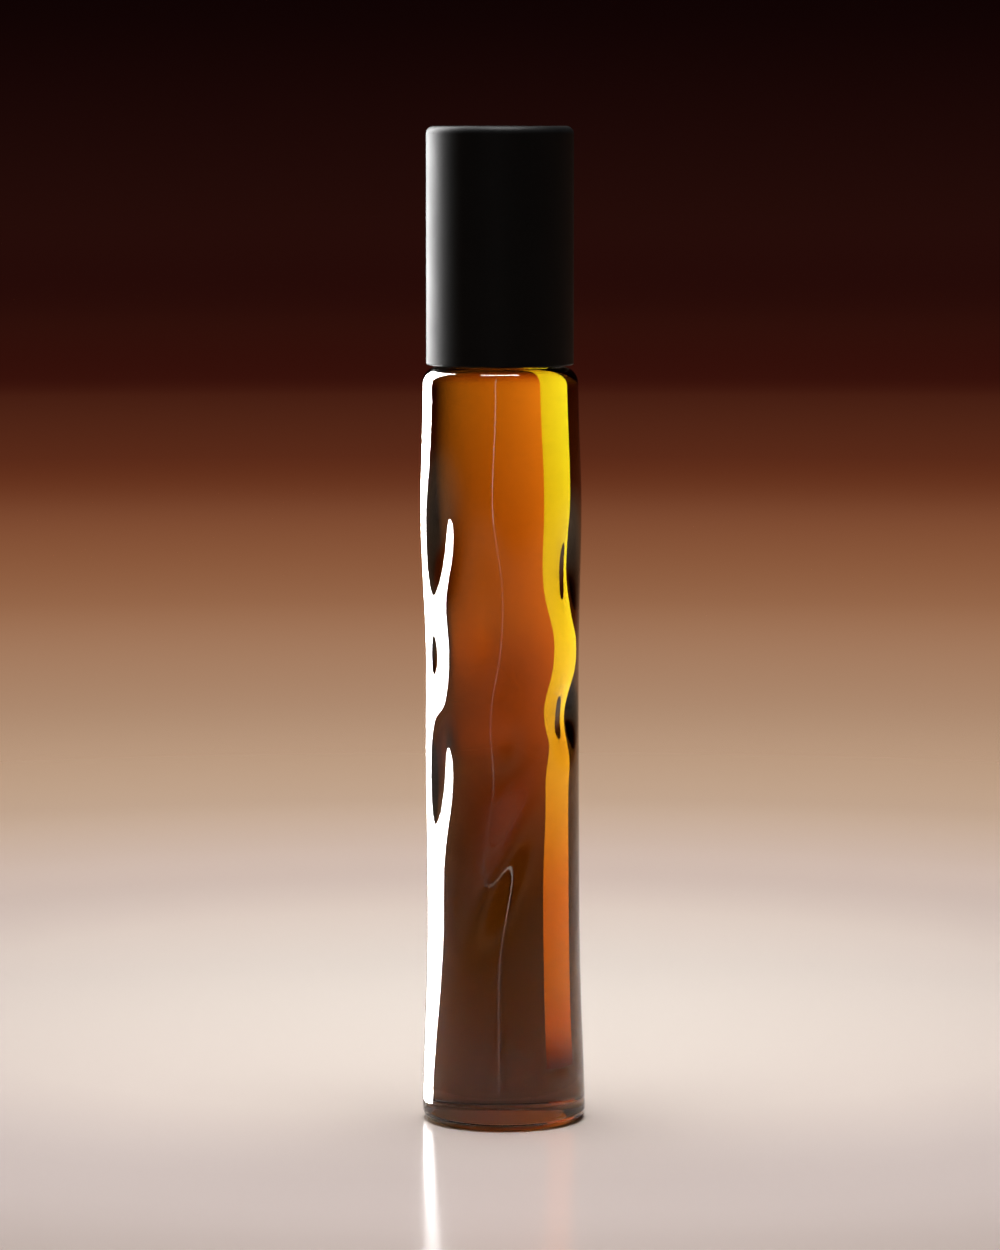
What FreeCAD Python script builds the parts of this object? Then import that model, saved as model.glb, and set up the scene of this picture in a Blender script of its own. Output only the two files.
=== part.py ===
# A slim roll-on bottle for perfume oil: sculpted glass, a press-in ball fitment and a two-piece screw cap.
# Millimetres. The axis of the neck is +Z, the foot stands on Z = 0, and the front looks towards -Y.
import FreeCAD
import Part

import math
import os

import Sketcher
from FreeCAD import Vector

# Driving dimensions: alias, value, what it measures.
SIZES = [
    ("body_height", 87.8, "glass from the foot to the top of the shoulder"),
    ("waist_radius", 8.95, "mean outer radius of the glass at its waist"),
    ("belly_swell", 0.42, "how far the upper belly stands out past the waist"),
    ("belly_height", 71.0, "middle of the upper belly"),
    ("belly_reach", 11.0, "how far up and down the belly fades"),
    ("foot_flare", 0.55, "how far the foot stands out past the waist"),
    ("foot_reach", 13.0, "how far up the foot fades"),
    ("lean", 0.45, "how far the foot stands to the right of the neck"),
    ("shoulder_round", 1.9, "outer radius of the shoulder"),
    ("foot_round", 1.3, "outer radius of the foot"),
    ("glass_wall", 2.3, "mean thickness of the glass at the waist"),
    ("base_thickness", 3.2, "glass under the oil"),
    ("floor_round", 2.6, "radius inside, between floor and wall"),
    ("shoulder_thickness", 2.2, "glass over the oil at the shoulder"),
    ("recess_radius", 5.6, "hollow under the foot"),
    ("recess_depth", 0.6, "depth of the hollow under the foot"),
    ("neck_height", 12.0, "neck above the shoulder"),
    ("neck_bore_radius", 4.5, "bore of the neck"),
    ("neck_wall", 1.4, "glass of the neck at the root of its thread"),
    ("neck_root_round", 0.7, "radius where the neck meets the shoulder"),
    ("lip_round", 0.4, "radius of the lip of the neck"),
    ("thread_height", 0.6, "how far the thread stands out of the neck"),
    ("thread_clearance", 0.2, "gap between the thread and the inner cap"),
    ("ball_radius", 4.75, "roller ball"),
    ("ball_clearance", 0.08, "running gap between ball and socket"),
    ("seat_drop", 0.05, "where the socket meets the fitment's passage, below the lip of the neck"),
    ("socket_wall", 0.9, "wall of the socket beside the ball"),
    ("socket_reach", 1.7, "socket above the ball centre, which keeps the ball in"),
    ("socket_bevel", 0.45, "bevel of the socket's upper edge"),
    ("flange_width", 1.35, "fitment flange outside the bore of the neck"),
    ("flange_height", 1.0, "thickness of the fitment flange"),
    ("plug_length", 8.5, "fitment plug inside the neck"),
    ("plug_wall", 1.0, "wall of the fitment plug"),
    ("plug_clearance", 0.12, "gap between plug and bore beside the ribs"),
    ("rib_clearance", 0.01, "gap between the crests of the sealing ribs and the bore"),
    ("rib_height", 0.9, "each sealing rib along the plug"),
    ("rib_pitch", 2.2, "from one sealing rib to the next"),
    ("pad_radius", 5.7, "sealing pad in the cap"),
    ("pad_thickness", 1.6, "sealing pad, edge to edge"),
    ("pad_dish", 0.5, "how deep the ball's crown sits in the pad"),
    ("pad_clearance", 0.1, "gap round the loose sealing pad"),
    ("bead_width", 0.3, "bead that keeps the pad in the inner cap, past the pad's rim"),
    ("bead_height", 0.6, "bead that keeps the pad in the inner cap"),
    ("inner_wall", 0.8, "wall of the inner cap"),
    ("inner_roof", 1.2, "roof of the inner cap over the pad"),
    ("headroom", 3.75, "spokes between the roof of the inner cap and the roof of the shell"),
    ("spoke_width", 1.0, "thickness of each spoke"),
    ("hub_radius", 2.0, "where the spokes end short of the axis"),
    ("skirt_recess", 0.5, "inner cap's skirt above the shell's rim"),
    ("grip_height", 0.1, "grip ribs between inner cap and shell"),
    ("grip_width", 0.8, "width of each grip rib"),
    ("grip_clearance", 0.02, "gap between the grip ribs and the shell"),
    ("shell_wall", 0.9, "wall of the cap's outer shell"),
    ("shell_roof", 1.2, "roof of the cap's outer shell"),
    ("shell_round", 0.9, "radius of the shell's upper edge"),
    ("rim_bevel", 0.15, "bevel of the shell's lower edges"),
    ("cap_gap", 0.2, "gap between the shell's rim and the shoulder"),
]

# Scoops pressed into the glass, as if by a thumb. Azimuth is in degrees from the front, rightward positive.
# Width in degrees of azimuth and length along the bottle are how far from its middle a scoop mostly fades.
# Slant is how many degrees the scoop turns to the right for each millimetre up.
SCOOP_FIELDS = ("azimuth", "height", "width", "length", "depth", "slant")
SCOOPS = {
    "left_upper": (-54, 68, 20, 7, 1.35, 0.8),
    "left_middle": (-66, 54.5, 20, 6, 1.25, 0),
    "left_lower": (-56, 40, 17, 7, 1.0, 0.8),
    "left_foot": (-70, 25, 20, 12, 0.6, 0),
    "back_upper": (180, 54.5, 11, 5, 0.75, 0),
    "back_lower": (180, 43, 10, 3, 0.4, 0),
    "right_upper": (62, 65, 15, 5.5, 0.95, 0),
    "right_lower": (60, 47.5, 14, 3.5, 1.0, 0),
    "front_upper": (10, 73, 14, 6, 0.2, 0),
    "front_middle": (-12, 61, 14, 7, 0.25, 0),
    "front_waist": (8, 47, 14, 5, 0.3, 0),
    "front_lower": (4, 32, 17, 9, 0.65, 2.0),
}

SECTION_POINTS = 48
WALL_STEPS = 36
ROUND_STEPS = 4
ZONES = (
    ("foot", 0, ROUND_STEPS),
    ("wall", ROUND_STEPS, ROUND_STEPS + WALL_STEPS),
    ("shoulder", ROUND_STEPS + WALL_STEPS, ROUND_STEPS + WALL_STEPS + ROUND_STEPS),
)
SPOKE_COUNT = 6
GRIP_COUNT = 12
RIB_COUNT = 3
LEVEL_TOLERANCE = 0.001

# Sizes that follow from the driving ones, as expressions over the sheet.
LIP = "(sizes.body_height + sizes.neck_height)"
NECK_RADIUS = "(sizes.neck_bore_radius + sizes.neck_wall)"
CAVITY_RADIUS = "(sizes.waist_radius - sizes.glass_wall)"
CAVITY_TOP = "(sizes.body_height - sizes.shoulder_thickness)"
PLUG_RADIUS = "(sizes.neck_bore_radius - sizes.plug_clearance)"
PLUG_BOTTOM = f"({LIP} - sizes.plug_length)"
PASSAGE_RADIUS = f"({PLUG_RADIUS} - sizes.plug_wall)"
FLANGE_RADIUS = "(sizes.neck_bore_radius + sizes.flange_width)"
SOCKET_RADIUS = "(sizes.ball_radius + sizes.ball_clearance)"
SOCKET_OUTER = f"({SOCKET_RADIUS} + sizes.socket_wall)"
BALL_HEIGHT = f"({LIP} - sizes.seat_drop + sqrt({SOCKET_RADIUS}^2 - {PASSAGE_RADIUS}^2))"
BALL_TOP = f"({BALL_HEIGHT} + sizes.ball_radius)"
SOCKET_TOP = f"({BALL_HEIGHT} + sizes.socket_reach)"
PAD_BOTTOM = f"({BALL_TOP} + sizes.pad_clearance - sizes.pad_dish)"
PAD_TOP = f"({PAD_BOTTOM} + sizes.pad_thickness)"
CHAMBER_RADIUS = "(sizes.pad_radius + sizes.pad_clearance)"
BEAD_RADIUS = "(sizes.pad_radius - sizes.bead_width)"
BEAD_TOP = f"({PAD_BOTTOM} - sizes.pad_clearance)"
BEAD_BOTTOM = f"({BEAD_TOP} - sizes.bead_height)"
CEILING = f"({PAD_TOP} + sizes.pad_clearance)"
WIDEST_INSIDE = f"max({NECK_RADIUS} + sizes.thread_height; {SOCKET_OUTER}; {CHAMBER_RADIUS})"
INNER_BORE = f"({WIDEST_INSIDE} + sizes.thread_clearance)"
INNER_RADIUS = f"({INNER_BORE} + sizes.inner_wall)"
INNER_TOP = f"({CEILING} + sizes.inner_roof)"
SHELL_BOTTOM = "(sizes.body_height + sizes.cap_gap)"
SKIRT_BOTTOM = f"({SHELL_BOTTOM} + sizes.skirt_recess)"
SHELL_BORE = f"({INNER_RADIUS} + sizes.grip_height)"
GRIP_REACH = f"({SHELL_BORE} - sizes.grip_clearance)"
SHELL_RADIUS = f"({SHELL_BORE} + sizes.shell_wall)"
SHELL_CEILING = f"({INNER_TOP} + sizes.headroom)"
SHELL_TOP = f"({SHELL_CEILING} + sizes.shell_roof)"


def make_sheet(doc):
    """The spreadsheet of driving dimensions, one alias a row."""
    sheet = doc.addObject("Spreadsheet::Sheet", "sizes")
    rows = list(SIZES)
    for name, values in SCOOPS.items():
        for field, value in zip(SCOOP_FIELDS, values):
            rows.append((f"{name}_{field}", value, f"{field} of the scoop {name}"))
    for row, (alias, value, note) in enumerate(rows, start=1):
        sheet.set(f"A{row}", alias)
        sheet.set(f"B{row}", str(value))
        sheet.set(f"C{row}", note)
        sheet.setAlias(f"B{row}", alias)
    doc.recompute()
    return sheet


def origin_feature(body, role):
    """One of a body's own origin planes or axes."""
    return next(item for item in body.Origin.OriginFeatures if item.Role == role)


def polygon_sketch(body, name, corners, plane="XZ_Plane"):
    """A closed polygon on a plane of the body. A corner is a pair of expressions, and "0" is on the axis."""
    sketch = body.newObject("Sketcher::SketchObject", name)
    sketch.AttachmentSupport = [(origin_feature(body, plane), "")]
    sketch.MapMode = "FlatFace"
    count = len(corners)
    start = [Vector(1 + index, index * index, 0) for index in range(count)]
    for index in range(count):
        sketch.addGeometry(Part.LineSegment(start[index], start[(index + 1) % count]))
    for index in range(count):
        sketch.addConstraint(Sketcher.Constraint("Coincident", index, 2, (index + 1) % count, 1))
    for index, (across, along) in enumerate(corners):
        for kind, axis, value in (("DistanceX", -2, across), ("DistanceY", -1, along)):
            if value == "0":
                sketch.addConstraint(Sketcher.Constraint("PointOnObject", index, 1, axis))
                continue
            number = sketch.addConstraint(Sketcher.Constraint(kind, -1, 1, index, 1, 1.0))
            label = f"{kind}_{index}"
            sketch.renameConstraint(number, label)
            sketch.setExpression(f"Constraints.{label}", value)
    return sketch


def revolve(body, name, corners, cut=False):
    """Turns a half profile of (radius, height) corners round the axis of the neck, adding or cutting."""
    sketch = polygon_sketch(body, f"{name}_profile", corners)
    kind = "PartDesign::Groove" if cut else "PartDesign::Revolution"
    feature = body.newObject(kind, name)
    feature.Profile = sketch
    feature.ReferenceAxis = (sketch, ["V_Axis"])
    feature.Angle = 360
    body.Document.recompute()
    return feature


def ring_edges(shape, height):
    """Names of the closed edges round the axis that lie at a height, from the narrowest to the widest."""
    found = []
    for number, edge in enumerate(shape.Edges, start=1):
        box = edge.BoundBox
        level = max(abs(box.ZMin - height), abs(box.ZMax - height)) < LEVEL_TOLERANCE
        if level and edge.isClosed():
            found.append((box.XLength, f"Edge{number}"))
    return [name for _, name in sorted(found)]


def fillet(body, name, base, edges, radius):
    """Rounds edges of a feature, by an expression."""
    feature = body.newObject("PartDesign::Fillet", name)
    feature.Base = (base, edges)
    feature.setExpression("Radius", radius)
    body.Document.recompute()
    return feature


def bevel(body, name, base, edges, width):
    """Bevels edges of a feature, by an expression."""
    feature = body.newObject("PartDesign::Chamfer", name)
    feature.Base = (base, edges)
    feature.setExpression("Size", width)
    body.Document.recompute()
    return feature


def fade(distance):
    """A smooth rise and fall, 1 at the middle."""
    return math.exp(-distance * distance)


def body_radius(size, azimuth, height):
    """Outer radius of the sculpted glass at an azimuth in degrees from the front, and a height."""
    rise = 1 - height / size["body_height"]
    radius = size["waist_radius"]
    radius += size["belly_swell"] * fade((height - size["belly_height"]) / size["belly_reach"])
    radius += size["foot_flare"] * fade(height / size["foot_reach"])
    radius += size["lean"] * rise * math.sin(math.radians(azimuth))
    for name in SCOOPS:
        climb = height - size[f"{name}_height"]
        turn = azimuth - size[f"{name}_azimuth"] - size[f"{name}_slant"] * climb
        across = ((turn + 180) % 360 - 180) / size[f"{name}_width"]
        along = climb / size[f"{name}_length"]
        radius -= size[f"{name}_depth"] * fade(across) * fade(along)
    return radius


def section_levels(size):
    """Height and inset of each cross-section: round the foot, up the wall and round the shoulder."""
    foot = size["foot_round"]
    shoulder = size["shoulder_round"]
    top = size["body_height"]
    levels = []
    for step in range(ROUND_STEPS):
        turn = math.radians(90 * (1 - step / ROUND_STEPS))
        levels.append((foot * (1 - math.sin(turn)), foot * (1 - math.cos(turn))))
    for step in range(WALL_STEPS + 1):
        levels.append((foot + (top - shoulder - foot) * step / WALL_STEPS, 0))
    for step in range(1, ROUND_STEPS + 1):
        turn = math.radians(90 * step / ROUND_STEPS)
        levels.append((top - shoulder * (1 - math.sin(turn)), shoulder * (1 - math.cos(turn))))
    return levels


def section_wire(size, height, inset):
    """One closed, smooth cross-section of the sculpted glass."""
    points = []
    for step in range(SECTION_POINTS):
        azimuth = step * 360 / SECTION_POINTS - 180
        radius = body_radius(size, azimuth, height) - inset
        turn = math.radians(azimuth)
        points.append(Vector(radius * math.sin(turn), -radius * math.cos(turn), height))
    curve = Part.BSplineCurve()
    curve.interpolate(points, PeriodicFlag=True, Parameters=list(range(SECTION_POINTS + 1)))
    return Part.Wire([curve.toShape()])


def make_sculpted_glass(doc, sheet):
    """The outside of the glass: lofts through cross-sections of the foot, the wall and the shoulder."""
    size = {alias: sheet.get(alias) for alias, _, _ in SIZES}
    for name in SCOOPS:
        for field in SCOOP_FIELDS:
            size[f"{name}_{field}"] = sheet.get(f"{name}_{field}")
    sections = []
    for number, (height, inset) in enumerate(section_levels(size)):
        section = doc.addObject("Part::Feature", f"section_{number:02d}")
        section.Shape = section_wire(size, height, inset)
        sections.append(section)
    lofts = []
    for name, first, last in ZONES:
        loft = doc.addObject("Part::Loft", f"{name}_loft")
        loft.Sections = sections[first:last + 1]
        loft.Solid = True
        loft.Ruled = False
        lofts.append(loft)
    glass = doc.addObject("Part::MultiFuse", "sculpted_glass")
    glass.Shapes = lofts
    doc.recompute()
    return glass


def make_bottle(doc, sheet):
    """Sculpted glass with a round shoulder and foot, a neck, an oil chamber and a hollow under the foot."""
    body = doc.addObject("PartDesign::Body", "glass_bottle")
    body.BaseFeature = make_sculpted_glass(doc, sheet)
    doc.recompute()
    neck = revolve(body, "neck", [
        ("0", CAVITY_TOP),
        (NECK_RADIUS, CAVITY_TOP),
        (NECK_RADIUS, LIP),
        ("0", LIP),
    ])
    lip_height = sheet.get("body_height") + sheet.get("neck_height")
    root_edges = ring_edges(neck.Shape, sheet.get("body_height"))
    root = fillet(body, "neck_root", neck, root_edges[:1], "sizes.neck_root_round")
    fillet(body, "neck_lip", root, ring_edges(root.Shape, lip_height), "sizes.lip_round")

    chamber = revolve(body, "oil_chamber", [
        ("0", "sizes.base_thickness"),
        (CAVITY_RADIUS, "sizes.base_thickness"),
        (CAVITY_RADIUS, f"({CAVITY_TOP} - ({CAVITY_RADIUS} - sizes.neck_bore_radius))"),
        ("sizes.neck_bore_radius", CAVITY_TOP),
        ("sizes.neck_bore_radius", f"({LIP} + sizes.lip_round)"),
        ("0", f"({LIP} + sizes.lip_round)"),
    ], cut=True)
    floor_edges = ring_edges(chamber.Shape, sheet.get("base_thickness"))
    fillet(body, "floor_corner", chamber, floor_edges, "sizes.floor_round")

    revolve(body, "foot_hollow", [
        ("0", "-sizes.recess_depth"),
        ("sizes.recess_radius", "-sizes.recess_depth"),
        ("sizes.recess_radius", "0"),
        ("(sizes.recess_radius - sizes.recess_depth)", "sizes.recess_depth"),
        ("0", "sizes.recess_depth"),
    ], cut=True)
    return body


def make_fitment(doc):
    """The press-in fitment: a ribbed plug in the neck, a flange on its lip and a socket for the ball."""
    body = doc.addObject("PartDesign::Body", "roller_fitment")
    outline = [
        (PASSAGE_RADIUS, PLUG_BOTTOM),
        (PLUG_RADIUS, PLUG_BOTTOM),
        (PLUG_RADIUS, LIP),
        (FLANGE_RADIUS, LIP),
        (FLANGE_RADIUS, f"({LIP} + sizes.flange_height)"),
        (SOCKET_OUTER, f"({LIP} + sizes.flange_height)"),
        (SOCKET_OUTER, SOCKET_TOP),
        (PASSAGE_RADIUS, SOCKET_TOP),
    ]
    turned = revolve(body, "plug_and_socket", outline)
    upper = ring_edges(turned.Shape, turned.Shape.BoundBox.ZMax)
    bevel(body, "socket_edge", turned, upper[-1:], "sizes.socket_bevel")
    for number in range(RIB_COUNT):
        middle = f"({PLUG_BOTTOM} + {number + 1} * sizes.rib_pitch)"
        revolve(body, f"sealing_rib_{number + 1}", [
            (PASSAGE_RADIUS, f"({middle} - sizes.rib_height / 2)"),
            (PLUG_RADIUS, f"({middle} - sizes.rib_height / 2)"),
            ("(sizes.neck_bore_radius - sizes.rib_clearance)", middle),
            (PLUG_RADIUS, f"({middle} + sizes.rib_height / 2)"),
            (PASSAGE_RADIUS, f"({middle} + sizes.rib_height / 2)"),
        ])
    socket = body.newObject("PartDesign::SubtractiveSphere", "ball_socket")
    socket.setExpression("Radius", SOCKET_RADIUS)
    socket.setExpression("Placement.Base.z", BALL_HEIGHT)
    doc.recompute()
    return body


def make_ball(doc):
    """The roller ball, free to turn in its socket."""
    ball = doc.addObject("Part::Sphere", "roller_ball")
    ball.setExpression("Radius", "sizes.ball_radius")
    ball.setExpression("Placement.Base.z", BALL_HEIGHT)
    return ball


def make_pad(doc):
    """The soft pad that closes over the ball's crown when the cap is on."""
    body = doc.addObject("PartDesign::Body", "sealing_pad")
    revolve(body, "disc", [
        ("0", PAD_BOTTOM),
        ("sizes.pad_radius", PAD_BOTTOM),
        ("sizes.pad_radius", PAD_TOP),
        ("0", PAD_TOP),
    ])
    dish = body.newObject("PartDesign::SubtractiveSphere", "dish")
    dish.setExpression("Radius", "sizes.ball_radius + sizes.pad_clearance")
    dish.setExpression("Placement.Base.z", BALL_HEIGHT)
    doc.recompute()
    return body


def ring_of_ribs(body, name, corners, height, count):
    """A rib of (x, y) corners on the ground plane, padded between two heights and repeated round the axis."""
    low, high = height
    sketch = polygon_sketch(body, f"{name}_outline", corners, "XY_Plane")
    sketch.setExpression("AttachmentOffset.Base.z", low)
    pad = body.newObject("PartDesign::Pad", name)
    pad.Profile = sketch
    pad.setExpression("Length", f"{high} - {low}")
    body.Document.recompute()
    pattern = body.newObject("PartDesign::PolarPattern", f"{name}_pattern")
    pattern.Originals = [pad]
    pattern.Axis = (origin_feature(body, "Z_Axis"), [""])
    pattern.Angle = 360
    pattern.Occurrences = count
    body.Tip = pattern
    body.Document.recompute()
    return pattern


def make_inner_cap(doc):
    """The inner cap: a sleeve over the neck, a chamber for the pad and ribs that grip the shell."""
    body = doc.addObject("PartDesign::Body", "inner_cap")
    step = f"({BEAD_BOTTOM} - ({INNER_BORE} - {BEAD_RADIUS}))"
    revolve(body, "sleeve", [
        (INNER_BORE, SKIRT_BOTTOM),
        (INNER_RADIUS, SKIRT_BOTTOM),
        (INNER_RADIUS, INNER_TOP),
        ("0", INNER_TOP),
        ("0", CEILING),
        (CHAMBER_RADIUS, CEILING),
        (CHAMBER_RADIUS, BEAD_TOP),
        (BEAD_RADIUS, BEAD_TOP),
        (BEAD_RADIUS, BEAD_BOTTOM),
        (INNER_BORE, step),
    ])
    ring_of_ribs(body, "grip_rib", [
        (f"({INNER_RADIUS} - sizes.inner_wall / 2)", "-sizes.grip_width / 2"),
        (GRIP_REACH, "-sizes.grip_width / 2"),
        (GRIP_REACH, "sizes.grip_width / 2"),
        (f"({INNER_RADIUS} - sizes.inner_wall / 2)", "sizes.grip_width / 2"),
    ], (SKIRT_BOTTOM, INNER_TOP), GRIP_COUNT)
    return body


def make_shell(doc):
    """The cap's outer shell: a plain cup with a soft upper edge, and spokes that bear on the inner cap."""
    body = doc.addObject("PartDesign::Body", "cap_shell")
    cup = revolve(body, "cup", [
        (SHELL_BORE, SHELL_BOTTOM),
        (SHELL_RADIUS, SHELL_BOTTOM),
        (SHELL_RADIUS, SHELL_TOP),
        ("0", SHELL_TOP),
        ("0", SHELL_CEILING),
        (SHELL_BORE, SHELL_CEILING),
    ])
    roof_edges = ring_edges(cup.Shape, cup.Shape.BoundBox.ZMax)
    upper = fillet(body, "upper_edge", cup, roof_edges, "sizes.shell_round")
    rim_edges = ring_edges(upper.Shape, upper.Shape.BoundBox.ZMin)
    bevel(body, "rim", upper, rim_edges, "sizes.rim_bevel")
    ring_of_ribs(body, "spoke", [
        ("sizes.hub_radius", "-sizes.spoke_width / 2"),
        (f"({SHELL_BORE} + sizes.shell_wall / 2)", "-sizes.spoke_width / 2"),
        (f"({SHELL_BORE} + sizes.shell_wall / 2)", "sizes.spoke_width / 2"),
        ("sizes.hub_radius", "sizes.spoke_width / 2"),
    ], (INNER_TOP, f"({SHELL_CEILING} + sizes.shell_roof / 2)"), SPOKE_COUNT)
    return body


def check_document(doc, pieces):
    """Stops on any failed object, and on a piece whose shape is missing, open or invalid."""
    for item in doc.Objects:
        if {"Invalid", "Error"} & set(item.State):
            raise RuntimeError(f"{item.Name} failed: {item.State}")
    for piece in pieces:
        shape = piece.Shape
        if shape.isNull() or not shape.isValid() or not shape.Solids:
            raise RuntimeError(f"{piece.Label} is not a valid solid")


def main():
    doc = FreeCAD.newDocument("roll_on_bottle")
    sheet = make_sheet(doc)
    pieces = [
        make_bottle(doc, sheet),
        make_fitment(doc),
        make_ball(doc),
        make_pad(doc),
        make_inner_cap(doc),
        make_shell(doc),
    ]
    doc.recompute()
    check_document(doc, pieces)
    os.makedirs("parts", exist_ok=True)
    for piece in pieces:
        piece.Shape.exportStep(f"parts/{piece.Label}.step")
        box = piece.Shape.BoundBox
        print(f"{piece.Label}: {piece.Shape.Volume:.1f} mm3, Z {box.ZMin:.2f} to {box.ZMax:.2f}")


main()
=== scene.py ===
import math

import bpy
import numpy as np
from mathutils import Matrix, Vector


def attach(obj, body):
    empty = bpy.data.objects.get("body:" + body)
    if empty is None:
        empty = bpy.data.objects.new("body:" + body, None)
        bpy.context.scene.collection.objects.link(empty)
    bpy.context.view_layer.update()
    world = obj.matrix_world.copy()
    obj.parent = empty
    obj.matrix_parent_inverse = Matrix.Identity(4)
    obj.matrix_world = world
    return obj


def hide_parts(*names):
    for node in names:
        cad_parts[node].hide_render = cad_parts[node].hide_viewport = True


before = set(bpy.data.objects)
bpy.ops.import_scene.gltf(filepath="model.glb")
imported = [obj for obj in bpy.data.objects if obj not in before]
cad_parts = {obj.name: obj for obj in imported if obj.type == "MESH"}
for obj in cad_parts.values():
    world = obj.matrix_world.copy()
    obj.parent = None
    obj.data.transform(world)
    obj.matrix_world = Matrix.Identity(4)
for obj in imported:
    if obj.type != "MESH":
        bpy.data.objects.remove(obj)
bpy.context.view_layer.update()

# Sizes below are in millimetres, as in the part's own source, unless a name says otherwise.
MM = 0.001

# The sculpted glass.
BODY_HEIGHT = 87.8
WAIST_RADIUS = 8.95
BELLY_SWELL, BELLY_HEIGHT, BELLY_REACH = 0.42, 71.0, 11.0
FOOT_FLARE, FOOT_REACH = 0.55, 13.0
LEAN = 0.45
SHOULDER_ROUND = 1.9
FOOT_ROUND = 1.3
GLASS_WALL = 2.3
BASE_THICKNESS = 3.2
FLOOR_ROUND = 2.6
SHOULDER_THICKNESS = 2.2
RECESS_RADIUS, RECESS_DEPTH = 5.6, 0.6
NECK_HEIGHT = 12.0
NECK_BORE, NECK_WALL = 4.5, 1.4
NECK_ROOT_ROUND = 0.7
LIP_ROUND = 0.4
OIL_LEVEL = 88.5
STIPPLE_LOW, STIPPLE_TOP, STIPPLE_ROUGHNESS = 0.6, 0.75, 0.55
GLASS_IOR = 1.5
GLASS_COLOUR, GLASS_DENSITY = (0.645, 0.475, 0.04, 1), 440
RIPPLE_SIZE, RIPPLE_DEPTH = 7.0, 0.012

# Scoops in the glass: azimuth from the front, height, width in degrees, length, depth, and slant in degrees
# a millimetre.
SCOOPS = {
    "left_upper": (-54, 68, 20, 7, 1.35, 0.8),
    "left_middle": (-66, 54.5, 20, 6, 1.25, 0),
    "left_lower": (-56, 40, 17, 7, 1.0, 0.8),
    "left_foot": (-70, 25, 20, 12, 0.6, 0),
    "back_upper": (180, 54.5, 11, 5, 0.75, 0),
    "back_lower": (180, 43, 10, 3, 0.4, 0),
    "right_upper": (62, 65, 15, 5.5, 0.95, 0),
    "right_lower": (60, 47.5, 14, 3.5, 1.0, 0),
    "front_upper": (10, 73, 14, 6, 0.2, 0),
    "front_middle": (-12, 61, 14, 7, 0.25, 0),
    "front_waist": (8, 47, 14, 5, 0.3, 0),
    "front_lower": (4, 32, 17, 9, 0.65, 2.0),
}

# The screw thread on the neck, and its mate inside the cap.
THREAD_PITCH = 3.0
THREAD_START = 90.6
THREAD_TURNS = 2.0
THREAD_HEIGHT = 0.6
THREAD_HALF = 0.8
THREAD_RUN_OUT = 35.0
LINER_BORE = 6.7
LINER_BEAD, LINER_HALF, LINER_SINK = 0.55, 0.6, 0.05
LINER_TRAVEL = (60, 660)
LINER_STEP, LINER_SIDES = 5, 12

# The pad in the top of the cap.
PAD_RADIUS, PAD_LOW, PAD_HIGH = 5.7, 107.55, 109.15
PAD_EDGE = 0.45
PAD_LIP, PAD_LIP_RISE, PAD_LIP_GAP = 0.35, 0.03, 0.15
PAD_LIP_STEPS = (0.0, 0.35, 1.0)
BALL_MIDDLE, DISH_RADIUS = 103.2, 4.85

# Facets of the turned pieces.
SEGMENTS = 192
WALL_ROWS = 170
ROUND_ROWS = 8
NECK_ROWS = 80
CHAMBER_ROWS = 24
SHARP_ANGLE = math.radians(40)

# Noise in the finishes: smears in the gloss, how fine each noise goes, and the span of it that is used.
SMEAR_SIZE = 6.0
RIPPLE_DETAIL, GRAIN_DETAIL, SMEAR_DETAIL = 1.0, 3.0, 4.0
NOISE_SPAN = (0.3, 0.7)

# Camera and studio, in metres. A lamp's radiance is what a mirror would show of it, where 1 is white.
IMAGE_HEIGHT_PX = 1250
FOCAL_PX = 5000
SENSOR = 36.0
CAMERA_PLACE = (0, -0.577, 0.1144)
CAMERA_PITCH = math.radians(5.6)

# The floor, whose colour darkens and warms with distance as painted shade, and the painted glow over the
# backdrop, by distance from a middle as a share of the ramp's reach.
FLOOR_RINGS = (0.1, 0.3, 0.6, 0.9)
FLOOR_REACH, SWEEP, WALL_TOP = 1.2, 1.0, 2.5
FLOOR_ROUGHNESS, FLOOR_SPECULAR = 0.15, 0.12
RAMP_REACH = 2.0
FLOOR_MIDDLE = (0, 0.08, 0)
# Floor colour by distance: pale near the bottle, darkening to brown farther off, which is painted shade
# standing in for light falling off.
FLOOR_COLOURS_AND_SHADE = (
    (0.0, (0.69, 0.61, 0.55)), (0.04, (0.62, 0.53, 0.48)), (0.055, (0.52, 0.44, 0.41)),
    (0.072, (0.49, 0.41, 0.38)), (0.1, (0.35, 0.28, 0.24)), (0.2, (0.1, 0.07, 0.05)),
    (0.5, (0.05, 0.02, 0.012)),
)
# Painted glow: emission over the floor and backdrop that stands in for a lit backdrop, shown only to camera,
# gloss and transmission rays.
PAINTED_GLOW_MIDDLE = (0, -0.05, 0)
PAINTED_GLOW_COLOURS = (
    (0.08, (0, 0, 0)), (0.165, (0.33, 0.21, 0.13)), (0.24, (0.39, 0.23, 0.14)), (0.35, (0.3, 0.135, 0.067)),
    (0.52, (0.16, 0.049, 0.02)), (0.7, (0.058, 0.012, 0.0055)), (0.76, (0.024, 0.0042, 0.0026)),
    (0.825, (0.017, 0.0035, 0.0025)), (0.91, (0.005, 0.001, 0.001)),
)
WORLD_COLOUR = (0.03, 0.02, 0.016, 1)

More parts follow.
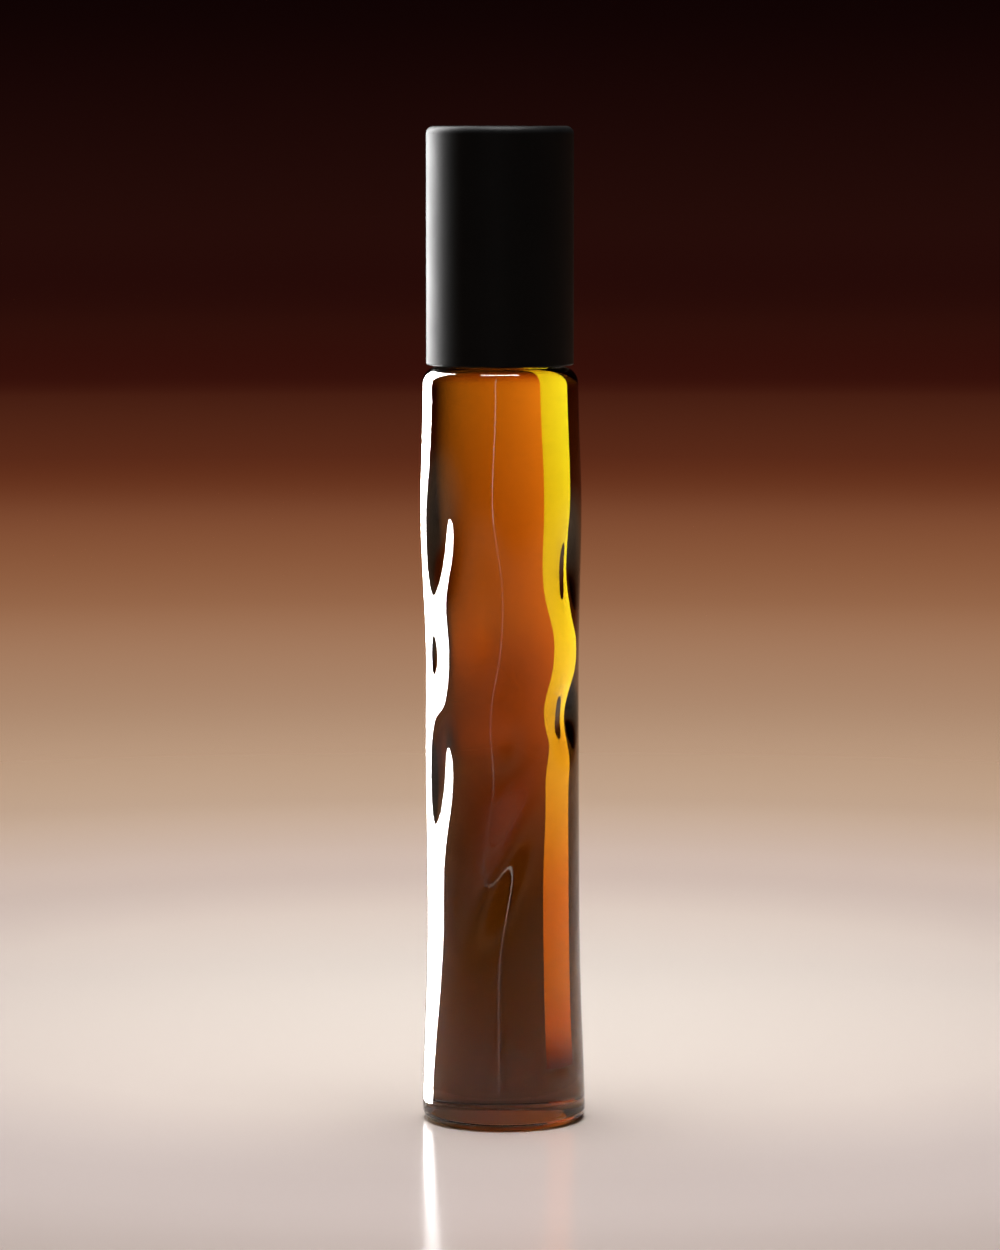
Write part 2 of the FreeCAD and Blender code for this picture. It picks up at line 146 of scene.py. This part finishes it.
# Two cards that show only through the glass: a glow straight behind it and a strip at its back left.
GLOW_LEFT, GLOW_RIGHT, GLOW_BACK = -0.0295, 0.07, 0.08
GLOW_LOW, GLOW_HIGH = 0.001, 0.12
GLOW_CLIMB, GLOW_ACROSS = (0.008, 0.09), (0.07, -0.045)
GLOW_STRENGTH = 13.0
GLOW_COLOURS = ((0.0, (1, 0.4, 0.3)), (0.55, (1, 0.55, 0.45)), (1.0, (1, 0.98, 0.85)))
STRIP_ENDS = ((-0.013, 0.0223), (-0.0058, 0.0275))
STRIP_LOW, STRIP_HIGH = 0.0002, 0.1
STRIP_STRENGTH = 28.0
STRIP_COLOURS = (
    (0.0, (0.02, 0.006, 0.005)), (0.045, (0.17, 0.1, 0.07)), (0.09, (0.2, 0.14, 0.09)),
    (0.286, (0.286, 0.268, 0.2)), (0.59, (0.4, 0.8, 0.32)), (0.77, (0.42, 1, 0.36)),
)

# Soft boxes, by the azimuths of their edges from the camera's side towards the left.
BOX_MIDDLE, BOX_HEIGHT = 0.25, 0.9
SIDE_AZIMUTHS, SIDE_DISTANCE, SIDE_RADIANCE = (112.9, 149.1), 0.0595, 40
CAP_DISTANCE = 0.5
CAP_EDGE_AZIMUTHS, CAP_EDGE_RADIANCE = (132, 158), 14
CAP_SIDE_AZIMUTHS, CAP_SIDE_RADIANCE = (118, 132), 22

# Other lamps.
FOOT_CARD_PLACE, FOOT_CARD_TARGET = (-0.0163, 0.0065, 0.006), (-0.0081, 0.0009, 0.006)
FOOT_CARD_SIZE, FOOT_CARD_RADIANCE = (0.0099, 0.012), 40
SKY_PLACE, SKY_SIZE, SKY_RADIANCE = (0, 0, 1.5), (4, 4), 0.35
OVERHEAD_PLACE, OVERHEAD_TARGET = (0, 0.05, 0.75), (0, 0.05, 0)
OVERHEAD_SIZE, OVERHEAD_RADIANCE, OVERHEAD_SPREAD = (0.4, 0.4), 2.7, math.radians(55)
SLIT_PLACE, SLIT_TARGET = (-0.07, -0.6, 0.3), (0, 0, 0.05)
SLIT_SIZE, SLIT_RADIANCE = (0.02, 0.7), 3


def fade(distance):
    """A smooth rise and fall, 1 at the middle."""
    return np.exp(-distance * distance)


def body_radius(azimuth, height):
    """Outer radius of the sculpted glass at azimuths in degrees from the front, and a height."""
    radius = WAIST_RADIUS + BELLY_SWELL * fade((height - BELLY_HEIGHT) / BELLY_REACH)
    radius = radius + FOOT_FLARE * fade(height / FOOT_REACH)
    radius = radius + LEAN * (1 - height / BODY_HEIGHT) * np.sin(np.radians(azimuth))
    for middle, level, width, length, depth, slant in SCOOPS.values():
        climb = height - level
        turn = (azimuth - middle - slant * climb + 180) % 360 - 180
        radius = radius - depth * fade(turn / width) * fade(climb / length)
    return radius


AZIMUTHS = np.arange(SEGMENTS) * 360 / SEGMENTS - 180


def ring(radius, height):
    """One row of points round the neck's axis, in metres. The radius may follow the azimuth."""
    turn = np.radians(AZIMUTHS)
    radius = np.broadcast_to(radius, turn.shape)
    height = np.broadcast_to(height, turn.shape)
    return np.stack([radius * np.sin(turn), -radius * np.cos(turn), height], axis=1) * MM


def quarter(steps):
    """Sine and cosine of the angles of a quarter turn, ends included."""
    angles = np.linspace(0, math.pi / 2, steps + 1)
    return list(zip(np.sin(angles), np.cos(angles)))


def make_piece(name, points, faces):
    """A smooth mesh that keeps its sharp edges."""
    mesh = bpy.data.meshes.new(name)
    mesh.from_pydata(points, [], faces)
    mesh.polygons.foreach_set("use_smooth", [True] * len(faces))
    mesh.set_sharp_from_angle(angle=SHARP_ANGLE)
    mesh.validate()
    piece = bpy.data.objects.new(name, mesh)
    bpy.context.scene.collection.objects.link(piece)
    return piece


def lathe(name, rows, bands=(0,)):
    """A closed piece through rows of points from one pole to the other. Bands gives each gap's material."""
    points = [np.array([[0, 0, rows[0] * MM]])] + rows[1:-1] + [np.array([[0, 0, rows[-1] * MM]])]
    faces = []
    kinds = []
    start = 0
    for number, (row, after) in enumerate(zip(points, points[1:])):
        kind = bands[min(number, len(bands) - 1)]
        follow = start + len(row)
        for step in range(SEGMENTS):
            beside = (step + 1) % SEGMENTS
            if len(row) == 1:
                face = (start, follow + beside, follow + step)
            elif len(after) == 1:
                face = (start + step, start + beside, follow)
            else:
                face = (start + step, start + beside, follow + beside, follow + step)
            faces.append(face)
            kinds.append(kind)
        start = follow
    piece = make_piece(name, np.concatenate(points).tolist(), faces)
    piece.data.polygons.foreach_set("material_index", kinds)
    return piece


def thread_rise(height):
    """How far the neck's thread stands out at each azimuth, at a height, as a share of its full height."""
    rise = np.zeros(SEGMENTS)
    for lap in range(math.ceil(THREAD_TURNS)):
        travel = AZIMUTHS + 180 + 360 * lap
        middle = THREAD_START + THREAD_PITCH * travel / 360
        run = np.minimum(travel, THREAD_TURNS * 360 - travel) / THREAD_RUN_OUT
        share = np.clip(1 - ((height - middle) / THREAD_HALF) ** 2, 0, 1)
        rise = np.maximum(rise, np.sqrt(share) * np.clip(run, 0, 1))
    return rise


def make_glass():
    """The sculpted bottle with its foot, shoulder, threaded neck and oil chamber, as one closed surface."""
    rows = [RECESS_DEPTH, ring(RECESS_RADIUS - RECESS_DEPTH, RECESS_DEPTH), ring(RECESS_RADIUS, 0)]
    for sine, cosine in quarter(ROUND_ROWS):
        height = FOOT_ROUND * (1 - cosine)
        rows.append(ring(body_radius(AZIMUTHS, height) - FOOT_ROUND * (1 - sine), height))
    wall_top = BODY_HEIGHT - SHOULDER_ROUND
    for height in np.linspace(FOOT_ROUND, wall_top, WALL_ROWS + 1)[1:]:
        rows.append(ring(body_radius(AZIMUTHS, height), height))
    for sine, cosine in quarter(ROUND_ROWS)[1:]:
        height = wall_top + SHOULDER_ROUND * sine
        rows.append(ring(body_radius(AZIMUTHS, height) - SHOULDER_ROUND * (1 - cosine), height))
    neck = NECK_BORE + NECK_WALL
    for sine, cosine in quarter(ROUND_ROWS):
        rows.append(ring(neck + NECK_ROOT_ROUND * (1 - sine), BODY_HEIGHT + NECK_ROOT_ROUND * (1 - cosine)))
    lip = BODY_HEIGHT + NECK_HEIGHT
    for height in np.linspace(BODY_HEIGHT + NECK_ROOT_ROUND, lip - LIP_ROUND, NECK_ROWS + 1)[1:]:
        rows.append(ring(neck + THREAD_HEIGHT * thread_rise(height), height))
    for sine, cosine in quarter(ROUND_ROWS)[1:]:
        rows.append(ring(neck - LIP_ROUND * (1 - cosine), lip - LIP_ROUND * (1 - sine)))
    chamber = WAIST_RADIUS - GLASS_WALL
    chamber_top = BODY_HEIGHT - SHOULDER_THICKNESS
    rows.append(ring(NECK_BORE, lip))
    rows.append(ring(NECK_BORE, OIL_LEVEL))
    dry_rows = len(rows) - 1
    rows.append(ring(NECK_BORE, chamber_top))
    cone_low = chamber_top - (chamber - NECK_BORE)
    rows.append(ring(chamber, cone_low))
    for height in np.linspace(cone_low, BASE_THICKNESS + FLOOR_ROUND, CHAMBER_ROWS)[1:]:
        rows.append(ring(chamber, height))
    for sine, cosine in quarter(ROUND_ROWS)[1:]:
        rows.append(ring(chamber - FLOOR_ROUND * (1 - cosine), BASE_THICKNESS + FLOOR_ROUND * (1 - sine)))
    rows.append(BASE_THICKNESS)
    glass = lathe("sculpted_glass", rows, [0] * dry_rows + [1])
    glass.data.materials.append(amber_glass())
    glass.data.materials.append(wetted_glass())
    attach(glass, "bottle")
    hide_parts("glass_bottle")
    return glass


def make_liner_thread():
    """The liner's bead, which runs in the groove between the turns of the neck's thread."""
    start, end = LINER_TRAVEL
    points = []
    for travel in range(start, end + 1, LINER_STEP):
        run = min(1, min(travel - start, end - travel) / THREAD_RUN_OUT)
        level = THREAD_START - THREAD_PITCH / 2 + THREAD_PITCH * travel / 360
        turn = math.radians(travel - 180)
        for side in range(LINER_SIDES + 1):
            lean = math.pi * (side / LINER_SIDES - 0.5)
            radius = LINER_BORE + LINER_SINK - (LINER_SINK + LINER_BEAD * run) * math.cos(lean)
            height = level + LINER_HALF * math.sin(lean)
            points.append((radius * math.sin(turn) * MM, -radius * math.cos(turn) * MM, height * MM))
    around = LINER_SIDES + 1
    faces = []
    for first in range(0, len(points) - around, around):
        for side in range(around):
            beside = (side + 1) % around
            faces.append((first + side, first + beside, first + around + beside, first + around + side))
    faces.append(tuple(range(around))[::-1])
    faces.append(tuple(range(len(points) - around, len(points))))
    bead = make_piece("liner_thread", points, faces)
    bead.data.materials.append(LINER_FINISH)
    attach(bead, "cap")


def make_pad():
    """The soft pad: rounded at its edges, a little fuller at its middle, dished to the ball's crown."""
    dish_edge = math.sqrt(DISH_RADIUS ** 2 - (PAD_LOW - BALL_MIDDLE) ** 2)
    rows = [BALL_MIDDLE + DISH_RADIUS]
    for radius in np.linspace(0, dish_edge - PAD_LIP_GAP, ROUND_ROWS + 1)[1:]:
        rows.append(ring(radius, BALL_MIDDLE + math.sqrt(DISH_RADIUS ** 2 - radius ** 2)))
    for share in PAD_LIP_STEPS:
        rows.append(ring(dish_edge + PAD_LIP * share, PAD_LOW + PAD_LIP_RISE * (1 - share)))
    rows.append(ring((dish_edge + PAD_RADIUS) / 2, PAD_LOW))
    middle = (PAD_LOW + PAD_HIGH) / 2
    for sine, cosine in quarter(ROUND_ROWS):
        rows.append(ring(PAD_RADIUS - PAD_EDGE * (1 - sine), middle - (middle - PAD_LOW) * cosine))
    for sine, cosine in quarter(ROUND_ROWS)[1:]:
        rows.append(ring(PAD_RADIUS - PAD_EDGE * (1 - cosine), middle + (PAD_HIGH - middle) * sine))
    rows.append(ring(PAD_RADIUS / 2, PAD_HIGH))
    rows.append(PAD_HIGH)
    pad = lathe("soft_pad", rows)
    foam = finish("pad_foam", ((0.5, 0.48, 0.44), (0.62, 0.6, 0.56)), (0.75, 0.9), 0.3, 0.02, specular=0.3)
    pad.data.materials.append(foam)
    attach(pad, "pad")
    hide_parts("sealing_pad")


def new_material(name):
    """A node material with its Principled shader."""
    material = bpy.data.materials.new(name)
    material.use_nodes = True
    return material, material.node_tree.nodes, material.node_tree.links


def amber_glass():
    """Dark amber glass with a faint ripple, stippled under its foot. It and the oil take the light as one."""
    material, nodes, links = new_material("amber_glass")
    shader = nodes["Principled BSDF"]
    shader.inputs["Base Color"].default_value = (1, 1, 1, 1)
    shader.inputs["IOR"].default_value = GLASS_IOR
    shader.inputs["Transmission Weight"].default_value = 1.0
    height = object_axes(nodes, links)["Z"]
    stipple = map_range(nodes, links, height, (STIPPLE_LOW * MM, STIPPLE_TOP * MM), (STIPPLE_ROUGHNESS, 0))
    links.new(stipple, shader.inputs["Roughness"])
    ripple = add_noise(nodes, links, RIPPLE_SIZE, RIPPLE_DETAIL)
    add_relief(nodes, links, ripple, RIPPLE_DEPTH)
    volume = nodes.new("ShaderNodeVolumeAbsorption")
    volume.inputs["Color"].default_value = GLASS_COLOUR
    volume.inputs["Density"].default_value = GLASS_DENSITY
    links.new(volume.outputs["Volume"], nodes["Material Output"].inputs["Volume"])
    return material


def wetted_glass():
    """The chamber's wall under the oil, which bends light as the glass does and so doesn't show."""
    material, nodes, _ = new_material("wetted_glass")
    shader = nodes["Principled BSDF"]
    shader.inputs["Base Color"].default_value = (1, 1, 1, 1)
    shader.inputs["Roughness"].default_value = 0.0
    shader.inputs["IOR"].default_value = 1.0
    shader.inputs["Transmission Weight"].default_value = 1.0
    return material


def add_noise(nodes, links, size, detail):
    """Noise of a size in millimetres, fixed to the object."""
    where = nodes.new("ShaderNodeTexCoord")
    noise = nodes.new("ShaderNodeTexNoise")
    noise.inputs["Scale"].default_value = 1 / (size * MM)
    noise.inputs["Detail"].default_value = detail
    links.new(where.outputs["Object"], noise.inputs["Vector"])
    return noise.outputs["Fac"]


def add_relief(nodes, links, height, depth):
    """Lets a height from 0 to 1 stand out of the surface by a depth in millimetres."""
    bump = nodes.new("ShaderNodeBump")
    bump.inputs["Strength"].default_value = 1.0
    bump.inputs["Distance"].default_value = depth * MM
    links.new(height, bump.inputs["Height"])
    links.new(bump.outputs["Normal"], nodes["Principled BSDF"].inputs["Normal"])


def map_range(nodes, links, value, reach, result, smooth=False):
    """Maps a value from one range to another, held at both ends."""
    node = nodes.new("ShaderNodeMapRange")
    if smooth:
        node.interpolation_type = "SMOOTHSTEP"
    for socket, number in zip(("From Min", "From Max", "To Min", "To Max"), (*reach, *result)):
        node.inputs[socket].default_value = number
    links.new(value, node.inputs["Value"])
    return node.outputs["Result"]


def object_axes(nodes, links):
    """The place on the object along each axis, in metres."""
    where = nodes.new("ShaderNodeTexCoord")
    axes = nodes.new("ShaderNodeSeparateXYZ")
    links.new(where.outputs["Object"], axes.inputs["Vector"])
    return axes.outputs


def finish(name, colours, roughness, grain, relief, specular=0.5, metallic=0.0):
    """A moulded or ground surface: a fine grain in its relief and colour, and slow smears in its gloss."""
    material, nodes, links = new_material(name)
    shader = nodes["Principled BSDF"]
    shader.inputs["Specular IOR Level"].default_value = specular
    shader.inputs["Metallic"].default_value = metallic
    fine = add_noise(nodes, links, grain, GRAIN_DETAIL)
    add_relief(nodes, links, fine, relief)
    ramp = nodes.new("ShaderNodeValToRGB")
    for element, place, colour in zip(ramp.color_ramp.elements, NOISE_SPAN, colours):
        element.position = place
        element.color = (*colour, 1)
    links.new(fine, ramp.inputs["Fac"])
    links.new(ramp.outputs["Color"], shader.inputs["Base Color"])
    smears = add_noise(nodes, links, SMEAR_SIZE, SMEAR_DETAIL)
    links.new(map_range(nodes, links, smears, NOISE_SPAN, roughness), shader.inputs["Roughness"])
    return material


def dress(node, material):
    """Gives a CAD node its finished material."""
    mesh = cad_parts[node].data
    mesh.materials.clear()
    mesh.materials.append(material)


def make_camera():
    """The photograph's view. The frame is taller than wide, so the sensor spans its height."""
    data = bpy.data.cameras.new("camera")
    data.sensor_width = SENSOR
    data.lens = SENSOR * FOCAL_PX / IMAGE_HEIGHT_PX
    camera = bpy.data.objects.new("camera", data)
    camera.location = CAMERA_PLACE
    camera.rotation_euler = (math.pi / 2 - CAMERA_PITCH, 0, 0)
    bpy.context.scene.collection.objects.link(camera)
    bpy.context.scene.camera = camera


def make_lamp(name, place, target, size, radiance):
    """A rectangular soft box that the camera doesn't see. Its radiance is what a mirror would show of it."""
    data = bpy.data.lights.new(name, "AREA")
    data.shape = "RECTANGLE"
    data.size, data.size_y = size
    data.energy = radiance * math.pi * size[0] * size[1]
    lamp = bpy.data.objects.new(name, data)
    lamp.location = place
    lamp.rotation_euler = (Vector(target) - Vector(place)).to_track_quat("-Z", "Y").to_euler()
    lamp.visible_camera = False
    bpy.context.scene.collection.objects.link(lamp)
    return lamp


def fill_ramp(ramp, stops, curve):
    """Gives a colour ramp its smooth run of colours, first and last included."""
    ramp.color_ramp.interpolation = curve
    elements = ramp.color_ramp.elements
    while len(elements) < len(stops):
        elements.new(0.5)
    for element, (place, colour) in zip(elements, stops):
        element.position = place
        element.color = (*colour, 1)


def distance_ramp(nodes, links, middle, stops):
    """A run of colours by the distance from a point, as a share of the ramp's reach."""
    where = nodes.new("ShaderNodeTexCoord")
    length = nodes.new("ShaderNodeVectorMath")
    length.operation = "DISTANCE"
    length.inputs[1].default_value = middle
    links.new(where.outputs["Object"], length.inputs[0])
    share = nodes.new("ShaderNodeMath")
    share.operation = "DIVIDE"
    share.inputs[1].default_value = RAMP_REACH
    links.new(length.outputs["Value"], share.inputs[0])
    ramp = nodes.new("ShaderNodeValToRGB")
    fill_ramp(ramp, stops, "CARDINAL")
    links.new(share.outputs["Value"], ramp.inputs["Fac"])
    return ramp.outputs["Color"]


def make_floor():
    """A pale round floor that sweeps up into a wall all round, darker and warmer with distance, which is
    painted shade.

    A painted glow over it, standing in for a lit backdrop, shows to the camera, in gloss and through glass,
    and lights nothing else.
    """
    rows = [0] + [ring(radius / MM, 0) for radius in (*FLOOR_RINGS, FLOOR_REACH)]
    for sine, cosine in quarter(ROUND_ROWS)[1:]:
        rows.append(ring((FLOOR_REACH + SWEEP * sine) / MM, SWEEP * (1 - cosine) / MM))
    rows.append(ring((FLOOR_REACH + SWEEP) / MM, WALL_TOP / MM))
    rows.append(WALL_TOP / MM)
    floor = lathe("floor", rows)
    material, nodes, links = new_material("floor")
    shader = nodes["Principled BSDF"]
    shader.inputs["Roughness"].default_value = FLOOR_ROUGHNESS
    shader.inputs["Specular IOR Level"].default_value = FLOOR_SPECULAR
    path = nodes.new("ShaderNodeLightPath")
    # Painted shade: the floor's base colour darkens with distance from its middle.
    links.new(distance_ramp(nodes, links, FLOOR_MIDDLE, FLOOR_COLOURS_AND_SHADE), shader.inputs["Base Color"])
    # The emission is a painted glow over the floor and backdrop, by distance from its middle.
    links.new(distance_ramp(nodes, links, PAINTED_GLOW_MIDDLE, PAINTED_GLOW_COLOURS), shader.inputs["Emission Color"])
    seen = path.outputs["Is Camera Ray"]
    for kind in ("Is Glossy Ray", "Is Transmission Ray"):
        either = nodes.new("ShaderNodeMath")
        either.operation = "MAXIMUM"
        links.new(seen, either.inputs[0])
        links.new(path.outputs[kind], either.inputs[1])
        seen = either.outputs["Value"]
    links.new(seen, shader.inputs["Emission Strength"])
    floor.data.materials.append(material)


def make_card(name, ends, low, high):
    """An upright card that shows only through the glass."""
    (left, near), (right, far) = ends
    corners = [(left, near, low), (right, far, low), (right, far, high), (left, near, high)]
    mesh = bpy.data.meshes.new(name)
    mesh.from_pydata(corners, [], [(0, 1, 2, 3)])
    card = bpy.data.objects.new(name, mesh)
    bpy.context.scene.collection.objects.link(card)
    card.visible_camera = False
    card.visible_diffuse = False
    card.visible_glossy = False
    card.visible_shadow = False
    material, nodes, links = new_material(name)
    nodes.remove(nodes["Principled BSDF"])
    mesh.materials.append(material)
    return nodes, links


def tinted_light(nodes, links, share, stops, curve, strength):
    """Light whose colour follows a share along a run of colours."""
    emission = nodes.new("ShaderNodeEmission")
    emission.inputs["Strength"].default_value = strength
    tint = nodes.new("ShaderNodeValToRGB")
    fill_ramp(tint, stops, curve)
    links.new(share, tint.inputs["Fac"])
    links.new(tint.outputs["Color"], emission.inputs["Color"])
    return emission.outputs["Emission"]


def make_strip():
    """A lamp at the back left, yellow above and dim and warm below."""
    nodes, links = make_card("strip", STRIP_ENDS, STRIP_LOW, STRIP_HIGH)
    climb = map_range(nodes, links, object_axes(nodes, links)["Z"], (0, STRIP_HIGH), (0, 1))
    light = tinted_light(nodes, links, climb, STRIP_COLOURS, "CARDINAL", STRIP_STRENGTH)
    links.new(light, nodes["Material Output"].inputs["Surface"])


def make_glow():
    """A lamp behind the bottle, bright above and fading to its lower edge and to the right."""
    ends = ((GLOW_LEFT, GLOW_BACK), (GLOW_RIGHT, GLOW_BACK))
    nodes, links = make_card("glow", ends, GLOW_LOW, GLOW_HIGH)
    axes = object_axes(nodes, links)
    climb = map_range(nodes, links, axes["Z"], GLOW_CLIMB, (0, 1), smooth=True)
    across = map_range(nodes, links, axes["X"], GLOW_ACROSS, (0, 1), smooth=True)
    share = nodes.new("ShaderNodeMath")
    share.operation = "MULTIPLY"
    links.new(climb, share.inputs[0])
    links.new(across, share.inputs[1])
    clear = nodes.new("ShaderNodeBsdfTransparent")
    mix = nodes.new("ShaderNodeMixShader")
    links.new(share.outputs["Value"], mix.inputs["Fac"])
    links.new(clear.outputs["BSDF"], mix.inputs[1])
    links.new(tinted_light(nodes, links, climb, GLOW_COLOURS, "B_SPLINE", GLOW_STRENGTH), mix.inputs[2])
    links.new(mix.outputs["Shader"], nodes["Material Output"].inputs["Surface"])


def make_box(name, azimuths, distance, radiance):
    """A tall soft box round the bottle on the left, from the azimuths of its edges. Only gloss shows it."""
    near, far = (math.radians(turn) for turn in azimuths)
    edges = [Vector((-math.sin(turn), -math.cos(turn), 0)) * distance for turn in (near, far)]
    middle = (edges[0] + edges[1]) / 2 + Vector((0, 0, BOX_MIDDLE))
    across = edges[1] - edges[0]
    facing = middle + across.cross(Vector((0, 0, 1)))
    if (facing - middle).dot(middle) > 0:
        facing = middle - (facing - middle)
    box = make_lamp(name, middle, facing, (across.length, BOX_HEIGHT), radiance)
    box.visible_diffuse = False
    return box


def light_only(lamp, piece):
    """Keeps a lamp's light to one piece."""
    lamp.light_linking.receiver_collection = bpy.data.collections.new(lamp.name)
    lamp.light_linking.receiver_collection.objects.link(piece)


def make_studio(glass):
    """The floor, the lamps and the world."""
    make_floor()
    make_glow()
    make_strip()
    side = make_box("side", SIDE_AZIMUTHS, SIDE_DISTANCE, SIDE_RADIANCE)
    foot_card = make_lamp("foot_card", FOOT_CARD_PLACE, FOOT_CARD_TARGET, FOOT_CARD_SIZE, FOOT_CARD_RADIANCE)
    foot_card.visible_diffuse = False
    for lamp in (side, foot_card):
        lamp.visible_transmission = False
        light_only(lamp, glass)
    cap_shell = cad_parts["cap_shell"]
    light_only(make_box("cap_edge", CAP_EDGE_AZIMUTHS, CAP_DISTANCE, CAP_EDGE_RADIANCE), cap_shell)
    light_only(make_box("cap_side", CAP_SIDE_AZIMUTHS, CAP_DISTANCE, CAP_SIDE_RADIANCE), cap_shell)
    sky = make_lamp("sky", SKY_PLACE, (0, 0, 0), SKY_SIZE, SKY_RADIANCE)
    light_only(sky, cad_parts["roller_ball"])
    overhead = make_lamp("overhead", OVERHEAD_PLACE, OVERHEAD_TARGET, OVERHEAD_SIZE, OVERHEAD_RADIANCE)
    overhead.data.spread = OVERHEAD_SPREAD
    make_lamp("slit", SLIT_PLACE, SLIT_TARGET, SLIT_SIZE, SLIT_RADIANCE)
    world = bpy.data.worlds.new("studio")
    world.use_nodes = True
    background = world.node_tree.nodes["Background"]
    background.inputs["Color"].default_value = WORLD_COLOUR
    background.inputs["Strength"].default_value = 1.0
    bpy.context.scene.world = world


LINER_FINISH = finish("liner_plastic", ((0.03, 0.03, 0.032), (0.04, 0.04, 0.042)), (0.3, 0.4), 0.3, 0.004)
CAP_FINISH = finish(
    "cap_plastic", ((0.004, 0.004, 0.004), (0.006, 0.006, 0.006)), (0.44, 0.5), 0.25, 0.003, specular=0.11)
FITMENT_FINISH = finish(
    "fitment_plastic", ((0.025, 0.025, 0.027), (0.035, 0.035, 0.037)), (0.3, 0.4), 0.3, 0.004)
BALL_FINISH = finish(
    "ball_steel", ((0.6, 0.6, 0.61), (0.66, 0.66, 0.67)), (0.07, 0.14), 0.12, 0.0006, metallic=1.0)
make_camera()
make_studio(make_glass())
make_liner_thread()
make_pad()
dress("inner_cap", LINER_FINISH)
dress("cap_shell", CAP_FINISH)
dress("roller_fitment", FITMENT_FINISH)
dress("roller_ball", BALL_FINISH)
bpy.context.scene.view_settings.view_transform = "Standard"
